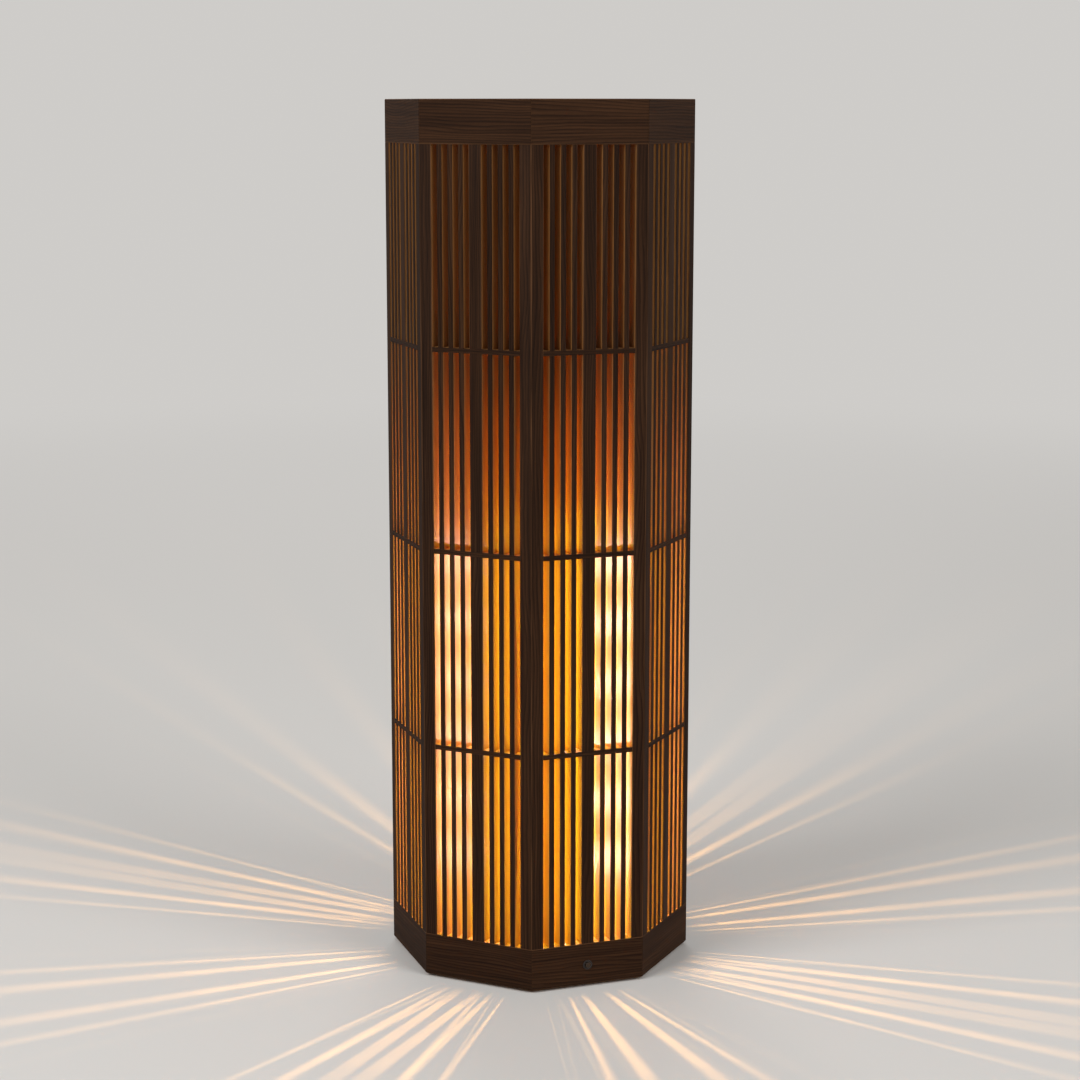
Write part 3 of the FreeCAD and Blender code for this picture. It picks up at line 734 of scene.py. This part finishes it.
def screw_shape():
    """A pan-head wood screw with a cross recess. Its head stands up, and its seat is at 0."""
    shape = bmesh.new()
    last = None
    for row in range(SCREW_ROWS + 1):
        height = -SCREW_LENGTH * (1 - row / SCREW_ROWS)
        taper = min(1.0, (height + SCREW_LENGTH) / SCREW_POINT + SCREW_TIP_SHARE)
        points = []
        for side in range(SCREW_SIDES):
            turn = side / SCREW_SIDES
            phase = (height / SCREW_THREAD_PITCH + turn) % 1.0
            ridge = max(0.0, 1 - abs(phase - 0.5) * 4)
            radius = (SCREW_CORE + SCREW_THREAD * ridge) * taper
            angle = 2 * math.pi * turn
            points.append(
                shape.verts.new((radius * math.cos(angle), radius * math.sin(angle), height))
            )
        if last:
            skirt(shape, last, points)
        else:
            shape.faces.new(points)
        last = points
    profile = (
        (1.0, 0.0), (1.0, 0.30), (0.975, 0.52), (0.91, 0.74), (0.80, 0.90), (0.66, 1.0)
    )
    for radius_share, height_share in profile:
        points = ring(
            shape, SCREW_HEAD_RADIUS * radius_share, SCREW_HEAD_HEIGHT * height_share,
            SCREW_SIDES,
        )
        skirt(shape, last, points)
        last = points
    recess = loop(shape, cross(RECESS_REACH, RECESS_ARM), SCREW_HEAD_HEIGHT)
    narrow = cross(RECESS_REACH * RECESS_TAPER_SHARE, RECESS_ARM * RECESS_TAPER_SHARE)
    bottom = loop(shape, narrow, SCREW_HEAD_HEIGHT - RECESS_DEPTH)
    skirt(shape, recess, bottom)
    shape.faces.new(bottom)
    fill(shape, last, recess)
    return shape


def make_screws():
    """A detailed screw in the place of each plain one, each turned its own way."""
    pattern = bpy.data.meshes.new("screw")
    made = screw_shape()
    made.to_mesh(pattern)
    made.free()
    joined = bmesh.new()
    for count, points in enumerate(solids("wood_screws")):
        low = Vector([min(point[axis] for point in points) for axis in range(3)])
        high = Vector([max(point[axis] for point in points) for axis in range(3)])
        middle = (low + high) / 2
        wide = [p.z for p in points if (p.xy - middle.xy).length > 0.8 * SCREW_HEAD_RADIUS]
        head_up = min(wide) > middle.z
        place = Vector((middle.x, middle.y, min(wide) if head_up else max(wide)))
        turn = Matrix.Rotation(SCREW_TURN * count, 4, "Z")
        if not head_up:
            turn = turn @ Matrix.Rotation(math.pi, 4, "X")
        before = len(joined.verts)
        joined.from_mesh(pattern)
        joined.verts.ensure_lookup_table()
        bmesh.ops.transform(
            joined, matrix=Matrix.Translation(place) @ turn, verts=joined.verts[before:]
        )
    zinc = plain("zinc_plate", (0.60, 0.57, 0.50), 0.34, 0.10, metallic=1.0)
    screws = new_piece("cross_head_screws", joined, zinc)
    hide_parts("wood_screws")
    return screws


CHIP_LENGTH = 2.0 * MM
CHIP_WIDTH = 1.25 * MM
CHIP_HEIGHT = 0.5 * MM
CHIP_RISE = 9 * MM
CHIP_END_SHARE = 0.22
CHIP_EASE = 0.08 * MM
CHIP_SCALE = 6.0
CHIP_BUMP_DEPTH = 0.03 * MM


def chip_finish():
    """A chip resistor's black glaze between its two tinned ends."""
    finish = Finish("chip_resistor")
    along, _, _, _ = lamp_place(finish)
    aside = finish.math("ABSOLUTE", along)
    reach = CHIP_LENGTH / 2 * (1 - 2 * CHIP_END_SHARE) / MM
    ends = finish.range(aside, reach - PRINT_EDGE, reach + PRINT_EDGE)
    fine = finish.noise(finish.stretch(finish.place(), *[CHIP_SCALE] * 3), detail=2.0)
    tin = finish.ramp(fine, [(0.3, (0.60, 0.60, 0.60)), (0.7, (0.75, 0.75, 0.74))])
    glaze = finish.ramp(fine, [(0.3, (0.015, 0.015, 0.016)), (0.7, (0.03, 0.03, 0.03))])
    finish.bump(fine, 0.2, CHIP_BUMP_DEPTH)
    return finish.surface_is(
        Base_Color=finish.blend(ends, glaze, tin), Metallic=ends,
        Roughness=finish.range(fine, 0.3, 0.7, 0.25, 0.4),
    )


def make_chips():
    """A chip resistor above each lens, on the face of its strip."""
    shape = bmesh.new()
    for strip in range(STRIPS):
        turn = Matrix.Rotation(strip * STRIP_TURN, 4, "Z")
        for level in range(LED_LEVELS):
            rise = FIRST_LED + level * LED_PITCH + CHIP_RISE
            place = Matrix.Translation((0, -STRIP_REACH - CHIP_HEIGHT / 2, rise))
            size = Matrix.Diagonal((CHIP_LENGTH, CHIP_HEIGHT, CHIP_WIDTH, 1))
            bmesh.ops.create_cube(shape, size=1, matrix=turn @ place @ size)
    bmesh.ops.bevel(
        shape, geom=shape.edges[:], offset=CHIP_EASE, segments=2, affect="EDGES", profile=0.5
    )
    return new_piece("chip_resistors", shape, chip_finish())


LID_LUGS = 11 * MM
LID_INSET = 2.5 * MM
LID_THICKNESS = 0.8 * MM
LID_CORNER = 2 * MM
LID_EASE = 0.25 * MM
VENTS = 7
VENT_WIDTH = 1.6 * MM
VENT_PITCH = 4 * MM
VENT_LENGTH_SHARE = 0.55


def rounded(low, high, radius, steps=5):
    """The outline of a rectangle with round corners, anticlockwise."""
    corners = (
        (high[0] - radius, high[1] - radius, 0), (low[0] + radius, high[1] - radius, 1),
        (low[0] + radius, low[1] + radius, 2), (high[0] - radius, low[1] + radius, 3),
    )
    outline = []
    for x, y, quarter in corners:
        for step in range(steps + 1):
            angle = math.pi / 2 * (quarter + step / steps)
            outline.append((x + radius * math.cos(angle), y + radius * math.sin(angle)))
    return outline


def make_driver_lid():
    """The driver's lid: a thin plate with a row of vents at each end, open to the plate below."""
    low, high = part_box("driver_case")
    near = (low.x + LID_INSET, low.y + LID_LUGS + LID_INSET)
    far = (high.x - LID_INSET, high.y - LID_LUGS - LID_INSET)
    middle = (near[0] + far[0]) / 2
    half = (far[0] - near[0]) / 2 * VENT_LENGTH_SHARE
    shape = bmesh.new()
    base, top = high.z, high.z + LID_THICKNESS
    foot = loop(shape, rounded(near, far, LID_CORNER), base)
    shoulder = loop(shape, rounded(near, far, LID_CORNER), top - LID_EASE)
    inset_near = tuple(value + LID_EASE for value in near)
    inset_far = tuple(value - LID_EASE for value in far)
    brim = loop(shape, rounded(inset_near, inset_far, LID_CORNER - LID_EASE), top)
    skirt(shape, foot, shoulder)
    skirt(shape, shoulder, brim)
    upper, lower = [brim], [foot]
    for end in (near[1] + VENT_PITCH, far[1] - VENT_PITCH * VENTS):
        for vent in range(VENTS):
            y = end + vent * VENT_PITCH
            outline = rounded(
                (middle - half, y - VENT_WIDTH / 2), (middle + half, y + VENT_WIDTH / 2),
                VENT_WIDTH / 2, 4,
            )
            mouth = loop(shape, outline, top)
            sill = loop(shape, outline, base)
            skirt(shape, mouth, sill)
            upper.append(mouth)
            lower.append(sill)
    fill(shape, *upper)
    fill(shape, *lower)
    lid = plain("lid_plastic", (0.52, 0.51, 0.49), 0.5, 0.04)
    return new_piece("driver_lid", shape, lid)


INLET_SLEEVE = 5.5 * MM
INLET_GROOVE = 0.45 * MM


def make_inlet():
    """The cord inlet, with a flared mouth, a groove round it and a rounded rim."""
    low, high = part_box("cord_inlet")
    rim = (high.z - low.z) / 2
    front, back = high.y - OUTER, low.y - OUTER
    mounts = {mount["name"]: mount for mount in frame["record"]["mounts"]}
    bore = mounts["cord_inlet"]["dims"]["r_mm"] * MM
    ease = front * 0.36
    groove = (bore + rim) / 2 + ease
    profile = (
        (bore, front - 1.6 * ease), (bore + 0.3 * ease, front - 0.6 * ease),
        (bore + 1.1 * ease, front - 0.1 * ease), (bore + 1.6 * ease, front),
        (groove - INLET_GROOVE, front), (groove - 0.6 * INLET_GROOVE, front - INLET_GROOVE),
        (groove + 0.6 * INLET_GROOVE, front - INLET_GROOVE), (groove + INLET_GROOVE, front),
        (rim - ease, front), (rim - 0.4 * ease, front - 0.15 * ease),
        (rim - 0.1 * ease, front - 0.5 * ease), (rim, front - ease), (rim, 0),
        (INLET_SLEEVE, 0), (INLET_SLEEVE, back), (bore, back),
    )
    place = Matrix.Translation((0, OUTER, (low.z + high.z) / 2))
    shape = lathe(profile, place @ Matrix.Rotation(math.radians(-90), 4, "X"))
    black = plain("inlet_nylon", (0.040, 0.040, 0.040), 0.5, 0.10, bump=0.12)
    inlet = new_piece("cord_inlet_sleeve", shape, black, smooth_below=28)
    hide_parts("cord_inlet")
    return inlet


CAP_THICKNESS = 4 * MM
CAP_PLUG = 4.9 * MM
CAP_EASE = 1 * MM


def make_cap():
    """The post's cap, with a rounded edge and a shallow dish in its top."""
    low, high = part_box("post_cap")
    rim = high.x
    profile = (
        (CAP_PLUG * 0.85, low.z), (CAP_PLUG, low.z + CAP_EASE),
        (CAP_PLUG, high.z - CAP_THICKNESS), (rim - 0.3 * CAP_EASE, high.z - CAP_THICKNESS),
        (rim, high.z - CAP_THICKNESS + 0.3 * CAP_EASE), (rim, high.z - CAP_EASE),
        (rim - 0.15 * CAP_EASE, high.z - 0.5 * CAP_EASE),
        (rim - 0.5 * CAP_EASE, high.z - 0.15 * CAP_EASE), (rim - CAP_EASE, high.z),
        (rim - 2.2 * CAP_EASE, high.z), (rim - 2.6 * CAP_EASE, high.z - 0.5 * CAP_EASE),
        (rim * 0.3, high.z - 0.75 * CAP_EASE),
    )
    finish = plain("cap_plastic", (0.80, 0.79, 0.76), 0.45, 0.04)
    shape = lathe(profile, Matrix(), hollow=False)
    cap = new_piece("post_cap_dished", shape, finish, smooth_below=28)
    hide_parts("post_cap")
    return cap


# Light, floor and camera

BACKDROP = (0.62, 0.605, 0.585)
FLOOR_RADIUS = 30.0
LED_POWER = 0.41
LED_COLOUR = (1.0, 0.50, 0.42)
LED_FLOOR_POWER = 0.52
LED_FLOOR_COLOUR = (1.0, 0.50, 0.13)
LED_GAP = 0.3 * MM
FACE_OUTWARDS = Matrix.Rotation(math.radians(-90), 4, "X")
SCATTER_REACH = 75 * MM
SCATTER_BANDS = (
    ("low", 28 * MM, 485 * MM, 3.8, (1.0, 0.84, 0.03)),
    ("high", 455 * MM, 600 * MM, 0.37, (1.0, 0.20, 0.02)),
)
WORKS_LIGHT_RADIUS = 90 * MM
WORKS_LIGHT_RISE = 300 * MM
WORKS_LIGHT_POWER = 0.22
WORKS_LIGHT_COLOUR = (1.0, 0.84, 0.62)
SOFTBOX_DISTANCE = 4.8
SOFTBOX_SIDE = 2.4
# Azimuth and elevation in degrees, the azimuth as the camera's, and power in watts
SOFTBOXES = (("key", -70, 38, 150), ("fill", 30, 32, 105), ("back", 165, 35, 60))
WORLD_COLOUR = (1.0, 0.985, 0.96)
WORLD_STRENGTH = 0.30
FLOOR_COLOUR = (0.60, 0.585, 0.565)
FLOOR_FADE = (1.2, 5.0)


def area_light(name, shape, size, power, colour=(1.0, 1.0, 1.0)):
    light = bpy.data.lights.new(name, "AREA")
    light.shape = shape
    light.size = size
    light.energy = power
    light.color = colour
    return light


def hang(name, light, place, receiving=None, mirrored=True):
    """Puts a lamp in its place, unseen by the camera; it may light some things alone."""
    lamp = bpy.data.objects.new(name, light)
    lamp.matrix_world = place
    lamp.visible_camera = False
    lamp.visible_glossy = mirrored
    if receiving is not None:
        lamp.light_linking.receiver_collection = receiving
    bpy.context.scene.collection.objects.link(lamp)


def receivers(name, things, state):
    """A collection for light linking: these things alone, or all but these."""
    made = bpy.data.collections.new(name)
    for thing in things:
        made.objects.link(thing)
    for linked in made.collection_objects:
        linked.light_linking.link_state = state
    return made


def light_on_works(works):
    """What falls straight down on the board and the works on it, at the studio's level: the
    lights on the post would bleach them at this distance."""
    light = area_light(
        "down_on_works", "DISK", 2 * WORKS_LIGHT_RADIUS, WORKS_LIGHT_POWER, WORKS_LIGHT_COLOUR
    )
    receiving = receivers("works_alone", works, "INCLUDE")
    place = Matrix.Translation((0, 0, WORKS_LIGHT_RISE))
    hang("down_on_works", light, place, receiving, mirrored=False)


def scattered_light(cage):
    """The light that the inside of the cage throws back and forth: before each face a wide, weak
    light as tall as the post's lit part, and above it a fainter, redder one."""
    for band, low, high, power, colour in SCATTER_BANDS:
        width = 2 * SCATTER_REACH * math.tan(FACE_TURN / 2)
        light = area_light(f"scatter_{band}", "RECTANGLE", width, power, colour)
        light.size_y = high - low
        place = Matrix.Translation((0, -SCATTER_REACH, (low + high) / 2)) @ FACE_OUTWARDS
        for face in range(FACES):
            turn = Matrix.Rotation(face * FACE_TURN, 4, "Z")
            hang(f"scatter_{band}_{face + 1}", light, turn @ place, cage, mirrored=False)


def leds(cage, ground):
    """The lamp's own light: before each lens a disc light for the lamp and one for the floor,
    which is set apart so that the streaks on the pale floor keep their warm colour."""
    floor = receivers("floor_alone", [ground], "INCLUDE")
    for target, power, colour, receiving in (
        ("lamp", LED_POWER, LED_COLOUR, cage),
        ("floor", LED_FLOOR_POWER, LED_FLOOR_COLOUR, floor),
    ):
        disc = area_light(f"led_on_{target}", "DISK", 2 * LED_RADIUS, power, colour)
        for strip in range(STRIPS):
            turn = Matrix.Rotation(strip * STRIP_TURN, 4, "Z")
            for level in range(LED_LEVELS):
                rise = FIRST_LED + level * LED_PITCH
                place = Matrix.Translation((0, -LENS_REACH - LED_GAP, rise)) @ FACE_OUTWARDS
                hang(f"led_{strip + 1}_{level + 1}_on_{target}", disc, turn @ place, receiving)


def softbox(name, azimuth, elevation, power):
    """A large white area light that looks at the middle of the lamp."""
    turn = Matrix.Rotation(math.radians(azimuth), 3, "Z")
    tilt = Matrix.Rotation(math.radians(-elevation), 3, "X")
    away = turn @ tilt @ Vector((0, -SOFTBOX_DISTANCE, 0))
    aim = (-away).to_track_quat("-Z", "Y").to_matrix().to_4x4()
    place = Matrix.Translation(away + Vector((0, 0, RIM / 2))) @ aim
    hang(name, area_light(name, "SQUARE", SOFTBOX_SIDE, power), place)


def looked_at(tree):
    """1 where a ray comes from the camera, a mirror or glass, and 0 for light on the object."""
    path = tree.nodes.new("ShaderNodeLightPath")
    share = path.outputs["Is Camera Ray"]
    for kind in ("Is Glossy Ray", "Is Transmission Ray"):
        either = tree.nodes.new("ShaderNodeMath")
        either.operation = "MAXIMUM"
        tree.links.new(share, either.inputs[0])
        tree.links.new(path.outputs[kind], either.inputs[1])
        share = either.outputs[0]
    return share


def world():
    """Soft light from all round; what is seen directly or mirrored is the backdrop's colour."""
    made = bpy.data.worlds.new("studio")
    bpy.context.scene.world = made
    made.use_nodes = True
    tree = made.node_tree
    tree.nodes.clear()
    output = tree.nodes.new("ShaderNodeOutputWorld")
    soft = tree.nodes.new("ShaderNodeBackground")
    soft.inputs["Color"].default_value = rgba(*WORLD_COLOUR)
    soft.inputs["Strength"].default_value = WORLD_STRENGTH
    seen = tree.nodes.new("ShaderNodeBackground")
    seen.inputs["Color"].default_value = rgba(*BACKDROP)
    seen.inputs["Strength"].default_value = 1.0
    mix = tree.nodes.new("ShaderNodeMixShader")
    tree.links.new(looked_at(tree), mix.inputs[0])
    tree.links.new(soft.outputs[0], mix.inputs[1])
    tree.links.new(seen.outputs[0], mix.inputs[2])
    tree.links.new(mix.outputs[0], output.inputs["Surface"])


def make_floor():
    """A pale floor that turns into the backdrop's colour far from the lamp."""
    shape = bmesh.new()
    bmesh.ops.create_circle(shape, cap_ends=True, radius=FLOOR_RADIUS, segments=64)
    mesh = bpy.data.meshes.new("floor")
    shape.to_mesh(mesh)
    shape.free()
    made = bpy.data.objects.new("floor", mesh)
    bpy.context.scene.collection.objects.link(made)
    finish = Finish("floor_paint")
    finish.surface_is(Base_Color=rgba(*FLOOR_COLOUR), Roughness=0.85)
    away = finish.length(finish.place())
    far = finish.range(away, *(reach / MM for reach in FLOOR_FADE), smooth=True)
    share = finish.times(far, looked_at(finish.tree))
    glow = finish.node("Emission", Color=rgba(*BACKDROP), Strength=1.0)
    mix = finish.node("MixShader", Fac=share)
    finish.feed(mix.inputs[1], finish.surface.outputs[0])
    finish.feed(mix.inputs[2], glow.outputs[0])
    finish.feed(finish.output.inputs["Surface"], mix.outputs[0])
    mesh.materials.append(finish.material)
    return made


def camera():
    """The photograph's view."""
    data = bpy.data.cameras.new("camera")
    data.sensor_width = SENSOR_WIDTH_MM
    data.lens = SENSOR_WIDTH_MM * FOCAL_LENGTH_PX / PHOTO_WIDTH_PX
    made = bpy.data.objects.new("camera", data)
    turn = Matrix.Rotation(CAMERA_AZIMUTH, 4, "Z")
    made.location = turn @ Vector((CAMERA_SIDESTEP, -CAMERA_DISTANCE, CAMERA_HEIGHT))
    made.rotation_euler = (math.pi / 2 + CAMERA_PITCH, 0, CAMERA_AZIMUTH)
    bpy.context.scene.collection.objects.link(made)
    bpy.context.scene.camera = made


dress_frame()
works = [frame["nodes"][name] for name in WORKS]
works += [make_screws(), make_chips(), make_driver_lid(), make_inlet(), make_cap()]
ground = make_floor()
cage = receivers("all_but_floor_and_works", [ground, *works], "EXCLUDE")
leds(cage, ground)
light_on_works(works)
scattered_light(cage)
for box in SOFTBOXES:
    softbox(*box)
world()
camera()
bpy.context.scene.view_settings.view_transform = "Standard"
